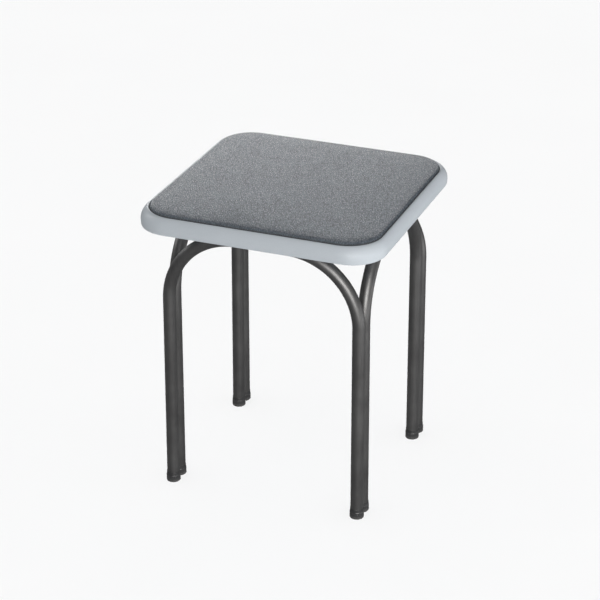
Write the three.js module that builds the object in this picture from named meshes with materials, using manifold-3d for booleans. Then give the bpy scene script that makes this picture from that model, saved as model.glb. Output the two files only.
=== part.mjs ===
// Shower stool: a padded square seat on four bent-tube arches that stand as eight paired legs.
// Millimetres, +Z up. The origin is on the floor under the middle of the seat; +Y points to the
// back and +X to the right, as seen from the front.
import * as THREE from "three";
import { mergeVertices } from "three/addons/utils/BufferGeometryUtils.js";
import Module from "manifold-3d";

// ---- Driving dimensions ----------------------------------------------------------------------
const GAP = 0.3; // clearance between pieces that touch
const OVERRUN = 1; // how far a joined piece or a cutting tool runs past the face it meets
const SIDES = [-1, 1];

const SEAT_HALF = 175; // half the seat's width and depth, at the rim's widest line
const CORNER_SEGMENTS = 7;
const RIM_CREASE_INSET = 9.6; // from the seat's edge to the line where the pad meets the rim
const RIM_CREASE_CORNER = 47.5;
const RIM_TOP_Z = 424.8;
const RIM_BOTTOM_Z = 401.3;
const FLOOR_BOTTOM_Z = 409;
const FLOOR_TOP_Z = 411.5;
const BLIND_SKIN = 1.2; // floor left above each frame screw's blind hole

const RIB_PITCH = 44;
const RIBS_EACH_SIDE = 3;
const RIB_THICKNESS = 2;
const RIB_BOTTOM_Z = 402.5;
const OUTER_RIB_INSET = 22; // the outermost ribs end short of the round corners

const COVER_THICKNESS = 1;
const BOARD_THICKNESS = 4;
const HEM_WIDTH = 20;
const PAD_EDGE_Z = 424.4; // top of the pad's straight side wall
const PAD_SHOULDER_Z = 428.2; // pad surface 10 mm in from the crease
const PAD_CROWN_Z = 433; // middle of the pad, the top of the stool
const PAD_CORNER_RADIUS = RIM_CREASE_CORNER - GAP;

const TUBE_RADIUS = 9;
const TUBE_WALL = 1.2;
const TUBE_SEGMENTS = 8; // half the number of sides
const BEND_RADIUS = 102;
const BEND_STEPS = 8;
const ARCH_TOP_Z = 390; // centreline
const LEG_X = 138.5;
const OUTER_LEG_Y = 129.2;
const INNER_LEG_Y = OUTER_LEG_Y - 2 * TUBE_RADIUS - GAP;
const FOOT_SPLAY_X = 1; // how much further out each leg stands at the floor
const OUTER_FOOT_SPLAY_Y = 1.6;
const INNER_FOOT_SPLAY_Y = -0.5;

const CAP_RADIUS = 10;
const CAP_HEIGHT = 15;
const CAP_BASE = 3;
const CAP_SEGMENTS = 20;

const SADDLE_BOTTOM_Z = 394;
const SADDLE_WIDTH = 26;
const LONG_SADDLE = 72;
const SHORT_SADDLE = 30;
const GROOVE_SEGMENTS = 32;

const FRAME_SCREW_X = 26; // screws in the front and back arches, either side of the middle
const FRAME_SCREW = { shank: 2.1, head: 4.2, headHeight: 2.6, length: 12 };
const ACCESS_HOLE_RADIUS = 5; // in the tube's lower wall, so that the head goes inside the tube
const PAD_SCREW_AT = 66; // middle of a rib cell, in X and in Y
const PAD_SCREW = { shank: 1.7, head: 3.5, headHeight: 2.2, length: 7 };
const SCREW_SEGMENTS = 12;

const WELD_RADIUS = 2.6;
const WELD_LENGTH = 20;
const WELD_Z = 270;
const WELD_INSET_X = -5.5; // from the legs' common line

// ---- Materials -------------------------------------------------------------------------------
const material = (color, roughness, metalness) =>
  new THREE.MeshStandardMaterial({ color, roughness, metalness });
const MATERIALS = {
  rim: material(0xb4bcc2, 0.42, 0),
  vinyl: material(0x85898d, 0.6, 0),
  foam: material(0xd9d2b8, 0.95, 0),
  board: material(0x3a3b3d, 0.7, 0),
  paint: material(0x45464a, 0.4, 0.4),
  cap: material(0x1d1d1f, 0.55, 0),
  screw: material(0xa8abb0, 0.35, 0.9),
};

// ---- Solids: closed geometries joined and cut --------------------------------------------------
const wasm = await Module();
wasm.setup();

function solid(geometry) {
  const bare = geometry.clone();
  bare.deleteAttribute("normal");
  bare.deleteAttribute("uv");
  const merged = mergeVertices(bare, 1e-4);
  return new wasm.Manifold(
    new wasm.Mesh({
      numProp: 3,
      vertProperties: merged.attributes.position.array,
      triVerts: new Uint32Array(merged.index.array),
    }),
  );
}

function geometryOf(manifold) {
  const mesh = manifold.getMesh();
  const geometry = new THREE.BufferGeometry();
  geometry.setAttribute("position", new THREE.BufferAttribute(mesh.vertProperties, 3));
  geometry.setIndex(new THREE.BufferAttribute(mesh.triVerts, 1));
  geometry.computeVertexNormals();
  return geometry;
}

const join = (geometries) =>
  geometryOf(geometries.map(solid).reduce((sum, next) => sum.add(next)));

const cut = (geometry, tools) =>
  geometryOf(tools.map(solid).reduce((rest, tool) => rest.subtract(tool), solid(geometry)));

// A closed cylinder about a vertical axis through (x, y).
function post(x, y, radius, bottom, top, segments = SCREW_SEGMENTS) {
  const geometry = new THREE.CylinderGeometry(radius, radius, top - bottom, segments);
  return geometry.rotateX(Math.PI / 2).translate(x, y, (bottom + top) / 2);
}

function block(sizeX, sizeY, x, y, bottom, top) {
  return new THREE.BoxGeometry(sizeX, sizeY, top - bottom).translate(x, y, (bottom + top) / 2);
}

// ---- Rounded-square shapes ---------------------------------------------------------------------
// The outline a given distance in from the seat's edge, anticlockwise, at one height.
function squareRing({ inset, z, corner }) {
  const half = SEAT_HALF - inset;
  const ring = [];
  for (let quarter = 0; quarter < 4; quarter += 1) {
    const middle = new THREE.Vector2(half - corner, half - corner);
    for (let step = 0; step <= CORNER_SEGMENTS; step += 1) {
      const angle = (Math.PI / 2) * (step / CORNER_SEGMENTS);
      const point = new THREE.Vector2(Math.cos(angle), Math.sin(angle));
      point.multiplyScalar(corner).add(middle);
      point.rotateAround(new THREE.Vector2(), (Math.PI / 2) * quarter);
      ring.push(new THREE.Vector3(point.x, point.y, z));
    }
  }
  return ring;
}

// A profile swept round the seat, like a lathe with a rounded-square path. Profile points run
// anticlockwise as seen in the section with the seat's edge to the right. With poles, the heights
// of the first and last points on the axis, the body is closed there; without, it is a ring.
function squareLathe(profile, poles = null) {
  const rings = profile.map(squareRing);
  const around = rings[0].length;
  const positions = rings.flat().flatMap((point) => point.toArray());
  const faces = [];
  const strips = poles ? rings.length - 1 : rings.length;
  for (let strip = 0; strip < strips; strip += 1) {
    const low = strip * around;
    const high = ((strip + 1) % rings.length) * around;
    for (let i = 0; i < around; i += 1) {
      const next = (i + 1) % around;
      faces.push(low + i, low + next, high + next);
      faces.push(low + i, high + next, high + i);
    }
  }
  if (poles) {
    const [first, last] = poles;
    const firstPole = rings.length * around;
    const lastPole = firstPole + 1;
    const lastRing = (rings.length - 1) * around;
    positions.push(0, 0, first, 0, 0, last);
    for (let i = 0; i < around; i += 1) {
      const next = (i + 1) % around;
      faces.push(firstPole, next, i);
      faces.push(lastPole, lastRing + i, lastRing + next);
    }
  }
  const geometry = new THREE.BufferGeometry();
  geometry.setAttribute("position", new THREE.Float32BufferAttribute(positions, 3));
  geometry.setIndex(faces);
  return geometry;
}

const at = (inset, z, corner) => ({ inset, z, corner });

// A flat plate with rounded corners.
function squarePlate(inset, corner, bottom, top) {
  return squareLathe([at(inset, bottom, corner), at(inset, top, corner)], [bottom, top]);
}

// ---- Seat base: moulded pan with the visible rim, ribs and saddles -----------------------------
// Section of the rim: the outer skin, the top lip, the wall of the pad's pocket, and the open
// channel between them underneath.
const RIM_SECTION = [
  at(1.5, RIM_BOTTOM_Z, 47.5),
  at(0.4, 405.4, 50.4),
  at(0, 410.3, 51.5),
  at(0.8, 415, 51),
  at(2.6, 419.2, 50.2),
  at(5, 422.6, 49.3),
  at(7.2, 424.3, 48.6),
  at(8.6, RIM_TOP_Z, 48),
  at(RIM_CREASE_INSET, 424.2, RIM_CREASE_CORNER),
  at(RIM_CREASE_INSET, FLOOR_BOTTOM_Z, RIM_CREASE_CORNER),
  at(7.2, FLOOR_BOTTOM_Z, 49.5),
  at(7.2, 418.4, 49.5),
  at(5.4, 418.4, 49.5),
  at(3.6, 414.6, 49.5),
  at(3, 410.3, 48.5),
  at(3.3, 405.4, 47.5),
  at(4.2, RIM_BOTTOM_Z, 45),
];

function ribs() {
  const length = 2 * (SEAT_HALF - RIM_CREASE_INSET + OVERRUN);
  const outermost = 2 * (SEAT_HALF - OUTER_RIB_INSET);
  const top = FLOOR_BOTTOM_Z + OVERRUN;
  const made = [];
  for (let i = -RIBS_EACH_SIDE; i <= RIBS_EACH_SIDE; i += 1) {
    const place = i * RIB_PITCH;
    const reach = Math.abs(i) === RIBS_EACH_SIDE ? outermost : length;
    made.push(block(reach, RIB_THICKNESS, 0, place, RIB_BOTTOM_Z, top));
    made.push(block(RIB_THICKNESS, reach, place, 0, RIB_BOTTOM_Z, top));
  }
  return made;
}

function saddles() {
  const top = FLOOR_BOTTOM_Z + OVERRUN;
  return SIDES.flatMap((side) => [
    block(LONG_SADDLE, SADDLE_WIDTH, 0, side * OUTER_LEG_Y, SADDLE_BOTTOM_Z, top),
    block(SADDLE_WIDTH, SHORT_SADDLE, side * LEG_X, 0, SADDLE_BOTTOM_Z, top),
  ]);
}

// Half-round grooves in the saddles, in which the tube tops lie.
function saddleGrooves() {
  const groove = (length) =>
    new THREE.CylinderGeometry(TUBE_RADIUS + GAP, TUBE_RADIUS + GAP, length, GROOVE_SEGMENTS);
  return SIDES.flatMap((side) => [
    groove(LONG_SADDLE + 2 * OVERRUN).rotateZ(Math.PI / 2).translate(0, side * OUTER_LEG_Y, ARCH_TOP_Z),
    groove(SHORT_SADDLE + 2 * OVERRUN).translate(side * LEG_X, 0, ARCH_TOP_Z),
  ]);
}

function seatBase() {
  const floor = squarePlate(8.4, 48.4, FLOOR_BOTTOM_Z, FLOOR_TOP_Z);
  const body = join([squareLathe(RIM_SECTION), floor, ...ribs(), ...saddles()]);
  const frameHoles = framePlaces().map(({ x, y }) =>
    post(x, y, FRAME_SCREW.shank + GAP, SADDLE_BOTTOM_Z - OVERRUN, FLOOR_TOP_Z - BLIND_SKIN),
  );
  const padHoles = padPlaces().map(({ x, y }) =>
    post(x, y, PAD_SCREW.shank + GAP, RIB_BOTTOM_Z, FLOOR_TOP_Z + OVERRUN),
  );
  return cut(body, [...saddleGrooves(), ...frameHoles, ...padHoles]);
}

// ---- Pad: board, foam and cover ----------------------------------------------------------------
const COVER_OUTER_INSET = RIM_CREASE_INSET + GAP;
const COVER_INNER_INSET = COVER_OUTER_INSET + COVER_THICKNESS;
const HEM_BOTTOM_Z = FLOOR_TOP_Z + GAP;
const HEM_TOP_Z = HEM_BOTTOM_Z + COVER_THICKNESS;
const BOARD_BOTTOM_Z = HEM_TOP_Z + GAP;
const BOARD_TOP_Z = BOARD_BOTTOM_Z + BOARD_THICKNESS;

// The pad's upper surface from its side wall to near its middle, lowered and drawn in by depth.
function padTop(depth) {
  const top = [
    [COVER_OUTER_INSET, PAD_EDGE_Z, 0],
    [COVER_OUTER_INSET + 1.2, PAD_EDGE_Z + 1.8, 0.4],
    [COVER_OUTER_INSET + 4, PAD_SHOULDER_Z - 1, 0.8],
    [COVER_OUTER_INSET + 9.7, PAD_SHOULDER_Z, 1],
    [COVER_OUTER_INSET + 36, PAD_CROWN_Z - 1.8, 1],
  ];
  const corner = (inset) => Math.max(PAD_CORNER_RADIUS - (inset - COVER_OUTER_INSET), 8);
  return top.map(([inset, z, down]) => {
    const drawnIn = inset + depth * (1 - down);
    return at(drawnIn, z - depth * down, corner(drawnIn));
  });
}

function seatBoard() {
  const plate = squarePlate(
    COVER_INNER_INSET + GAP,
    PAD_CORNER_RADIUS - COVER_THICKNESS - GAP,
    BOARD_BOTTOM_Z,
    BOARD_TOP_Z,
  );
  const holes = padPlaces().map(({ x, y }) =>
    post(x, y, PAD_SCREW.shank + GAP, BOARD_BOTTOM_Z - OVERRUN, BOARD_TOP_Z + OVERRUN),
  );
  return cut(plate, holes);
}

function seatFoam() {
  const side = padTop(COVER_THICKNESS + GAP);
  const bottom = BOARD_TOP_Z + GAP;
  const crown = PAD_CROWN_Z - COVER_THICKNESS - GAP;
  return squareLathe([at(side[0].inset, bottom, side[0].corner), ...side], [bottom, crown]);
}

function seatCover() {
  const outside = padTop(0);
  const inside = padTop(COVER_THICKNESS).reverse();
  const { corner } = outside[0];
  const hemEdge = COVER_INNER_INSET + HEM_WIDTH;
  const hemCorner = corner - COVER_THICKNESS - HEM_WIDTH;
  const section = [
    ...inside,
    at(COVER_INNER_INSET, HEM_TOP_Z, corner - COVER_THICKNESS),
    at(hemEdge, HEM_TOP_Z, hemCorner),
    at(hemEdge, HEM_BOTTOM_Z, hemCorner),
    at(COVER_OUTER_INSET, HEM_BOTTOM_Z, corner),
    ...outside,
  ];
  return squareLathe(section, [PAD_CROWN_Z - COVER_THICKNESS, PAD_CROWN_Z]);
}

// ---- Frame: four bent-tube arches --------------------------------------------------------------
// A centreline that is known only at its stations, so that each step of a sweep lands on one.
class StationCurve extends THREE.Curve {
  constructor(stations) {
    super();
    this.stations = stations;
  }

  station(u) {
    return this.stations[Math.round(u * (this.stations.length - 1))];
  }

  getPointAt(u, target = new THREE.Vector3()) {
    return target.copy(this.station(u).point);
  }

  getTangentAt(u, target = new THREE.Vector3()) {
    return target.copy(this.station(u).tangent);
  }

  getPoint(u, target) {
    return this.getPointAt(u, target);
  }
}

// Stations of half an arch, from the floor to the end of its bend, drawn in the XZ plane with the
// leg on the left. The foot stands further out by splayAlong in the plane, and by splayAcross
// towards -Y.
function halfArch(legAt, splayAlong, splayAcross) {
  const bendZ = ARCH_TOP_Z - BEND_RADIUS;
  const bottomZ = CAP_BASE + GAP;
  const share = (bendZ - bottomZ) / bendZ;
  const foot = new THREE.Vector3(-legAt - splayAlong * share, -splayAcross * share, bottomZ);
  const legTop = new THREE.Vector3(-legAt, 0, bendZ);
  const stations = [{ point: foot, tangent: legTop.clone().sub(foot).normalize() }];
  for (let step = 0; step <= BEND_STEPS; step += 1) {
    const angle = (Math.PI / 2) * (step / BEND_STEPS);
    const out = new THREE.Vector3(-Math.cos(angle), 0, Math.sin(angle));
    const middle = new THREE.Vector3(-legAt + BEND_RADIUS, 0, bendZ);
    const tangent = new THREE.Vector3(Math.sin(angle), 0, Math.cos(angle));
    stations.push({ point: middle.addScaledVector(out, BEND_RADIUS), tangent });
  }
  return stations;
}

function archGeometry(legAt, splayAlong, splayAcross) {
  const near = halfArch(legAt, splayAlong, splayAcross);
  const mirror = ({ point, tangent }) => ({
    point: point.clone().setX(-point.x),
    tangent: tangent.clone().set(tangent.x, -tangent.y, -tangent.z),
  });
  const stations = [...near, ...near.map(mirror).reverse()];
  const section = new THREE.Shape().absarc(0, 0, TUBE_RADIUS, 0, 2 * Math.PI);
  section.holes.push(
    new THREE.Path().absarc(0, 0, TUBE_RADIUS - TUBE_WALL, 0, 2 * Math.PI, true),
  );
  return new THREE.ExtrudeGeometry(section, {
    steps: stations.length - 1,
    curveSegments: TUBE_SEGMENTS,
    extrudePath: new StationCurve(stations),
  });
}

// A clearance hole through the tube's upper wall and an access hole through its lower wall.
const screwHoles = (place) => [
  post(place, 0, FRAME_SCREW.shank + GAP, ARCH_TOP_Z, FLOOR_TOP_Z),
  post(place, 0, ACCESS_HOLE_RADIUS, ARCH_TOP_Z - 2 * TUBE_RADIUS, ARCH_TOP_Z, CAP_SEGMENTS),
];

// The front arch as drawn; the back one is turned half round.
function outerArch() {
  const tube = archGeometry(LEG_X, FOOT_SPLAY_X, OUTER_FOOT_SPLAY_Y);
  return cut(tube, [...screwHoles(-FRAME_SCREW_X), ...screwHoles(FRAME_SCREW_X)]);
}

function innerArch() {
  const tube = archGeometry(INNER_LEG_Y, INNER_FOOT_SPLAY_Y, FOOT_SPLAY_X);
  return cut(tube, screwHoles(0));
}

// ---- Foot caps ---------------------------------------------------------------------------------
function footCap() {
  const bore = TUBE_RADIUS + GAP;
  const section = [
    [0, 0],
    [8.8, 0],
    [9.7, 0.5],
    [CAP_RADIUS, 1.6],
    [CAP_RADIUS, CAP_HEIGHT - 1],
    [CAP_RADIUS - 0.3, CAP_HEIGHT],
    [bore, CAP_HEIGHT],
    [bore, CAP_BASE],
    [0, CAP_BASE],
  ].map(([x, y]) => new THREE.Vector2(x, y));
  return new THREE.LatheGeometry(section, CAP_SEGMENTS).rotateX(Math.PI / 2);
}

// ---- Fasteners ---------------------------------------------------------------------------------
// A pan-head screw pointing up, with its head's seat at Z 0 and a cross recess underneath.
function screw({ shank, head, headHeight, length }) {
  const section = [
    [0, -headHeight],
    [head * 0.6, -headHeight],
    [head * 0.92, -headHeight * 0.6],
    [head, -headHeight * 0.2],
    [head, 0],
    [shank, 0],
    [shank, length - shank],
    [0, length],
  ].map(([x, y]) => new THREE.Vector2(x, y));
  const body = new THREE.LatheGeometry(section, SCREW_SEGMENTS).rotateX(Math.PI / 2);
  const slotTop = -headHeight * 0.45;
  const slotWidth = head * 0.22;
  const slot = (sizeX, sizeY) => block(sizeX, sizeY, 0, 0, -headHeight - OVERRUN, slotTop);
  return cut(body, [slot(head, slotWidth), slot(slotWidth, head)]);
}

function framePlaces() {
  const sideWord = { "-1": "left", 1: "right" };
  const depthWord = { "-1": "front", 1: "back" };
  const outer = SIDES.flatMap((depth) =>
    SIDES.map((side) => ({
      name: `frame_screw_${depthWord[depth]}_${sideWord[side]}`,
      x: side * FRAME_SCREW_X,
      y: depth * OUTER_LEG_Y,
    })),
  );
  const inner = SIDES.map((side) => ({
    name: `frame_screw_${sideWord[side]}`,
    x: side * LEG_X,
    y: 0,
  }));
  return [...outer, ...inner];
}

function padPlaces() {
  return CORNERS.map(({ name, side, depth }) => ({
    name: `pad_screw_${name}`,
    x: side * PAD_SCREW_AT,
    y: depth * PAD_SCREW_AT,
  }));
}

// A short bead in the groove on the left of a pair of legs, drawn about the pair's middle. All
// four are on that side, because the frame is welded lying on its right.
function weldBead() {
  const bead = new THREE.CapsuleGeometry(WELD_RADIUS, WELD_LENGTH - 2 * WELD_RADIUS, 3, 8);
  bead.rotateX(Math.PI / 2).translate(WELD_INSET_X, 0, 0);
  const halfSpan = (OUTER_LEG_Y - INNER_LEG_Y) / 2;
  const legs = SIDES.map((side) =>
    post(0, side * halfSpan, TUBE_RADIUS + GAP, -WELD_LENGTH, WELD_LENGTH, 32),
  );
  return cut(bead, legs);
}

// ---- Assembly ----------------------------------------------------------------------------------
const CORNERS = [
  { name: "front_left", side: -1, depth: -1 },
  { name: "front_right", side: 1, depth: -1 },
  { name: "back_left", side: -1, depth: 1 },
  { name: "back_right", side: 1, depth: 1 },
];

function piece(name, geometry, surface, [x, y, z] = [0, 0, 0], turn = 0) {
  const mesh = new THREE.Mesh(geometry, surface);
  mesh.name = name;
  mesh.position.set(x, y, z);
  mesh.rotation.z = turn;
  return mesh;
}

function seat() {
  const group = new THREE.Group();
  group.add(
    piece("seat_base", seatBase(), MATERIALS.rim),
    piece("seat_board", seatBoard(), MATERIALS.board),
    piece("seat_foam", seatFoam(), MATERIALS.foam),
    piece("seat_cover", seatCover(), MATERIALS.vinyl),
  );
  return group;
}

function frame() {
  const group = new THREE.Group();
  const outer = outerArch();
  const inner = innerArch();
  group.add(
    piece("front_arch", outer, MATERIALS.paint, [0, -OUTER_LEG_Y, 0]),
    piece("back_arch", outer, MATERIALS.paint, [0, OUTER_LEG_Y, 0], Math.PI),
    piece("left_arch", inner, MATERIALS.paint, [-LEG_X, 0, 0], -Math.PI / 2),
    piece("right_arch", inner, MATERIALS.paint, [LEG_X, 0, 0], Math.PI / 2),
  );
  return group;
}

function feet() {
  const group = new THREE.Group();
  const cap = footCap();
  const x = LEG_X + FOOT_SPLAY_X;
  const outerY = OUTER_LEG_Y + OUTER_FOOT_SPLAY_Y;
  const innerY = INNER_LEG_Y + INNER_FOOT_SPLAY_Y;
  for (const { name, side, depth } of CORNERS) {
    group.add(
      piece(`foot_cap_${name}_outer`, cap, MATERIALS.cap, [side * x, depth * outerY, 0]),
      piece(`foot_cap_${name}_inner`, cap, MATERIALS.cap, [side * x, depth * innerY, 0]),
    );
  }
  return group;
}

// Where a frame screw's head meets the inside of the tube's upper wall.
function frameScrewSeat() {
  const flatToMiddle = (TUBE_RADIUS - TUBE_WALL) * Math.cos(Math.PI / (2 * TUBE_SEGMENTS));
  return ARCH_TOP_Z + Math.sqrt(flatToMiddle ** 2 - FRAME_SCREW.head ** 2) - GAP;
}

function fasteners() {
  const group = new THREE.Group();
  const frameScrew = screw(FRAME_SCREW);
  const padScrew = screw(PAD_SCREW);
  const bead = weldBead();
  for (const { name, x, y } of framePlaces()) {
    group.add(piece(name, frameScrew, MATERIALS.screw, [x, y, frameScrewSeat()]));
  }
  for (const { name, x, y } of padPlaces()) {
    group.add(piece(name, padScrew, MATERIALS.screw, [x, y, FLOOR_BOTTOM_Z - GAP]));
  }
  for (const { name, side, depth } of CORNERS) {
    const middleY = (depth * (OUTER_LEG_Y + INNER_LEG_Y)) / 2;
    const place = [side * LEG_X, middleY, WELD_Z];
    group.add(piece(`weld_${name}`, bead, MATERIALS.paint, place));
  }
  return group;
}

const stool = new THREE.Group();
stool.add(seat(), frame(), feet(), fasteners());

export default stool;
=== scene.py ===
"""Shower stool: the finished looks of a padded square seat on four bent-tube arches.

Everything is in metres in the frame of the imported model: +Z up, the floor at Z 0, the front
of the stool towards -Y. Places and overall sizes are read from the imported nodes' boxes.
"""

import math

import bmesh
import bpy
import numpy as np
from mathutils import Matrix, Vector
from mathutils.bvhtree import BVHTree


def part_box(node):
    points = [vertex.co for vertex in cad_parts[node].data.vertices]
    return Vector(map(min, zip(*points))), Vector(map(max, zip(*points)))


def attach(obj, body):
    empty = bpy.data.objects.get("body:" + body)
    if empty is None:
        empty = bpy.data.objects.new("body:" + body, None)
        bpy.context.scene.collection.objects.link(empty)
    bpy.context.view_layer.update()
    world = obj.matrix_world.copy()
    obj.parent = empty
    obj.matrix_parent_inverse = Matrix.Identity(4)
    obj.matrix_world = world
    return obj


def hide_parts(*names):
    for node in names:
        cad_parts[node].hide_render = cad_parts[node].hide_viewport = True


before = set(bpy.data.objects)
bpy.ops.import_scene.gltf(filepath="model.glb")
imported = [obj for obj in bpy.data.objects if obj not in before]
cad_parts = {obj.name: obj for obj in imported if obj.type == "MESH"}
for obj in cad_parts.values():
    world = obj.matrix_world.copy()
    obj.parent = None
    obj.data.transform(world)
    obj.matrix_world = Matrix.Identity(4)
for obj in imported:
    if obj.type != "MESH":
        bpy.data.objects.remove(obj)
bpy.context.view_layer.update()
SCENE = bpy.context.scene
MM = 0.001
WHITE = (1, 1, 1)
SQUARE = ((-1, -1), (1, -1), (1, 1), (-1, 1))  # corners in order round a square

# ---- Dimensions ---------------------------------------------------------------------------------
GAP = 0.3 * MM  # clearance between neighbouring pieces

SEAT_LOW, SEAT_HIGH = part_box("seat_base")
SEAT_HALF = SEAT_HIGH.x
RIM_CREASE_INSET = 9.6 * MM
RIM_CREASE_CORNER = 47.5 * MM
FLOOR_BOTTOM_Z = 409 * MM  # the pan's own floor, under the board
FLOOR_TOP_Z = 411.5 * MM
FLOOR_INSET = 8.4 * MM
FLOOR_CORNER = 48.4 * MM
SADDLE_BOTTOM_Z = SEAT_LOW.z
RIB_BOTTOM_Z = 402.5 * MM
RIB_PITCH = 44 * MM
RIB_THICKNESS = 2 * MM
RIBS_EACH_SIDE = 3
OUTER_RIB_INSET = 22 * MM
JOIN_OVERLAP = 1 * MM  # how far a tool or block runs past a face that it joins or cuts

COVER_LOW, COVER_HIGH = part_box("seat_cover")
PAD_HALF = COVER_HIGH.x
PAD_CORNER = RIM_CREASE_CORNER - GAP
PAD_EDGE_Z = 424.4 * MM
PAD_CROWN_Z = COVER_HIGH.z
COVER_THICKNESS = 1 * MM
HEM_WIDTH = 20 * MM
BOARD_TOP_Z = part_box("seat_board")[1].z

ARCH_LOW, ARCH_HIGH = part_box("front_arch")
TUBE_RADIUS = 9 * MM
TUBE_WALL = 1.2 * MM
BEND_RADIUS = 102 * MM
ARCH_TOP_Z = ARCH_HIGH.z - TUBE_RADIUS
TUBE_END_Z = ARCH_LOW.z

FRAME_SCREW = {"shank": 2.1 * MM, "head": 4.2 * MM, "head_height": 2.6 * MM, "length": 12 * MM}
ACCESS_HOLE_RADIUS = 5 * MM
PAD_SCREW = {"shank": 1.7 * MM, "head": 3.5 * MM, "head_height": 2.2 * MM, "length": 7 * MM}

CORNERS = ("front_left", "front_right", "back_left", "back_right")


def middle(node):
    """The middle of a node's box."""
    low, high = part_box(node)
    return (low + high) / 2


def add_object(name, data):
    """A new object in the scene."""
    obj = bpy.data.objects.new(name, data)
    SCENE.collection.objects.link(obj)
    return obj


# ---- Camera, floor and light --------------------------------------------------------------------
CAMERA_TARGET = Vector((0.00328, 0.00128, 0.25075))
CAMERA_DISTANCE = 2.9462
CAMERA_AZIMUTH = math.radians(21.327)  # from straight ahead towards the stool's right
CAMERA_ELEVATION = math.radians(25.731)
CAMERA_LENS = 125.09
STAGE_HALF = 6
STAGE_LIGHT = 2.64  # the strength of the floor's own light
BACKDROP_RADIUS = 9.0
BACKDROP_GLOW = 0.955
WORLD_COLOR = (0.98, 0.99, 1.0, 1)
WORLD_STRENGTH = 0.22
LIGHT_TARGET_Z = ARCH_HIGH.z - 40 * MM


def direction(azimuth, elevation):
    """The unit vector from the stool to something at that bearing, in radians."""
    flat = math.cos(elevation)
    return Vector((math.sin(azimuth) * flat, -math.cos(azimuth) * flat, math.sin(elevation)))


def aimed(obj, place, target):
    """Puts a camera or light at a place, looking at a target."""
    obj.location = place
    obj.rotation_euler = (Vector(target) - Vector(place)).to_track_quat("-Z", "Y").to_euler()
    return obj


def make_camera():
    """The camera at the photo's angle, which was fitted to the stool's outline."""
    data = bpy.data.cameras.new("camera")
    data.lens = CAMERA_LENS
    data.clip_end = 20
    toward = direction(CAMERA_AZIMUTH, CAMERA_ELEVATION)
    place = CAMERA_TARGET + toward * CAMERA_DISTANCE
    SCENE.camera = aimed(add_object("camera", data), place, CAMERA_TARGET)


def softbox(name, azimuth, elevation, distance, width, height, power, color=WHITE, mirrored=True):
    """An area light aimed just under the seat, at a bearing in degrees. The camera doesn't see
    it, and gloss doesn't if it isn't mirrored."""
    data = bpy.data.lights.new(name, "AREA")
    data.shape = "RECTANGLE"
    data.size = width
    data.size_y = height
    data.energy = power
    data.color = color
    target = Vector((0, 0, LIGHT_TARGET_Z))
    toward = direction(math.radians(azimuth), math.radians(elevation))
    light = aimed(add_object(name, data), target + toward * distance, target)
    light.visible_camera = False
    light.visible_glossy = mirrored
    return light


def make_lights(floor):
    """A dim world, softboxes for the stool, and a light of the floor's own."""
    world = bpy.data.worlds.new("studio")
    world.use_nodes = True
    background = world.node_tree.nodes["Background"]
    background.inputs["Color"].default_value = WORLD_COLOR
    background.inputs["Strength"].default_value = WORLD_STRENGTH
    SCENE.world = world
    boxes = (
        softbox("front_box", azimuth=31, elevation=14, distance=2.2,
                width=1.0, height=1.1, power=41, color=(1, 0.985, 0.96)),
        softbox("right_wall", azimuth=84, elevation=14, distance=2.2,
                width=2.0, height=1.2, power=26, mirrored=False),
        softbox("right_card", azimuth=88, elevation=-14, distance=1.15,
                width=2.0, height=0.12, power=3.5),
        softbox("left_glow", azimuth=-92, elevation=28, distance=2.2,
                width=0.6, height=0.7, power=15),
        softbox("overhead", azimuth=-50, elevation=78, distance=2.2,
                width=1.4, height=1.4, power=6),
        softbox("back_sheen", azimuth=207, elevation=13, distance=2.6,
                width=1.6, height=0.6, power=44),
    )
    flag_off(boxes, floor)
    wash(floor)


def flag_off(lights, floor):
    """Keeps these lights off the floor, so that it stays evenly pale."""
    unlit = bpy.data.collections.new("unlit_by_softboxes")
    unlit.objects.link(floor)
    unlit.collection_objects[0].light_linking.link_state = "EXCLUDE"
    for light in lights:
        light.light_linking.receiver_collection = unlit


def wash(floor):
    """Shadowless light that falls on the floor alone."""
    data = bpy.data.lights.new("floor_wash", "SUN")
    data.energy = STAGE_LIGHT
    data.use_shadow = False
    light = aimed(add_object("floor_wash", data), (0, 0, 3), (0, 0, 0))
    receivers = bpy.data.collections.new("washed")
    receivers.objects.link(floor)
    light.light_linking.receiver_collection = receivers


def make_floor():
    """A pale floor that lights the stool but isn't mirrored in it."""
    mesh = bpy.data.meshes.new("floor")
    corners = [(x * STAGE_HALF, y * STAGE_HALF, 0) for x, y in SQUARE]
    mesh.from_pydata(corners, [], [(0, 1, 2, 3)])
    floor = add_object("floor", mesh)
    surface = Surface("floor_paper", roughness=0.9, specular=0.2)
    tint = surface.noise(scale=3, detail=2)
    surface.color(surface.ramp(tint, (0.90, 0.90, 0.90), (0.92, 0.92, 0.92), 0.0, 1.0))
    mesh.materials.append(surface.material)
    floor.visible_glossy = False
    return floor


def make_backdrop():
    """A pale dome behind the floor, which only the camera sees."""
    shape = bmesh.new()
    bmesh.ops.create_uvsphere(shape, u_segments=64, v_segments=32, radius=BACKDROP_RADIUS)
    mesh = bpy.data.meshes.new("backdrop")
    shape.to_mesh(mesh)
    shape.free()
    mesh.shade_smooth()
    backdrop = add_object("backdrop", mesh)
    surface = Surface("backdrop_paper", roughness=1.0, specular=0.0)
    surface.color((0, 0, 0, 1))
    surface.shader.inputs["Emission Color"].default_value = (*WHITE, 1)
    surface.shader.inputs["Emission Strength"].default_value = BACKDROP_GLOW
    mesh.materials.append(surface.material)
    backdrop.visible_diffuse = False
    backdrop.visible_glossy = False
    backdrop.visible_shadow = False


# ---- Materials ----------------------------------------------------------------------------------
NOISE_RANGE = (0.3, 0.7)  # where most of a noise node's values lie
PALE_EDGE_RANGE = (0.5, 0.56)  # the pointiness at which an edge starts to turn paler, and is fully paler: wear, and on the rim's lip a painted highlight


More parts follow.
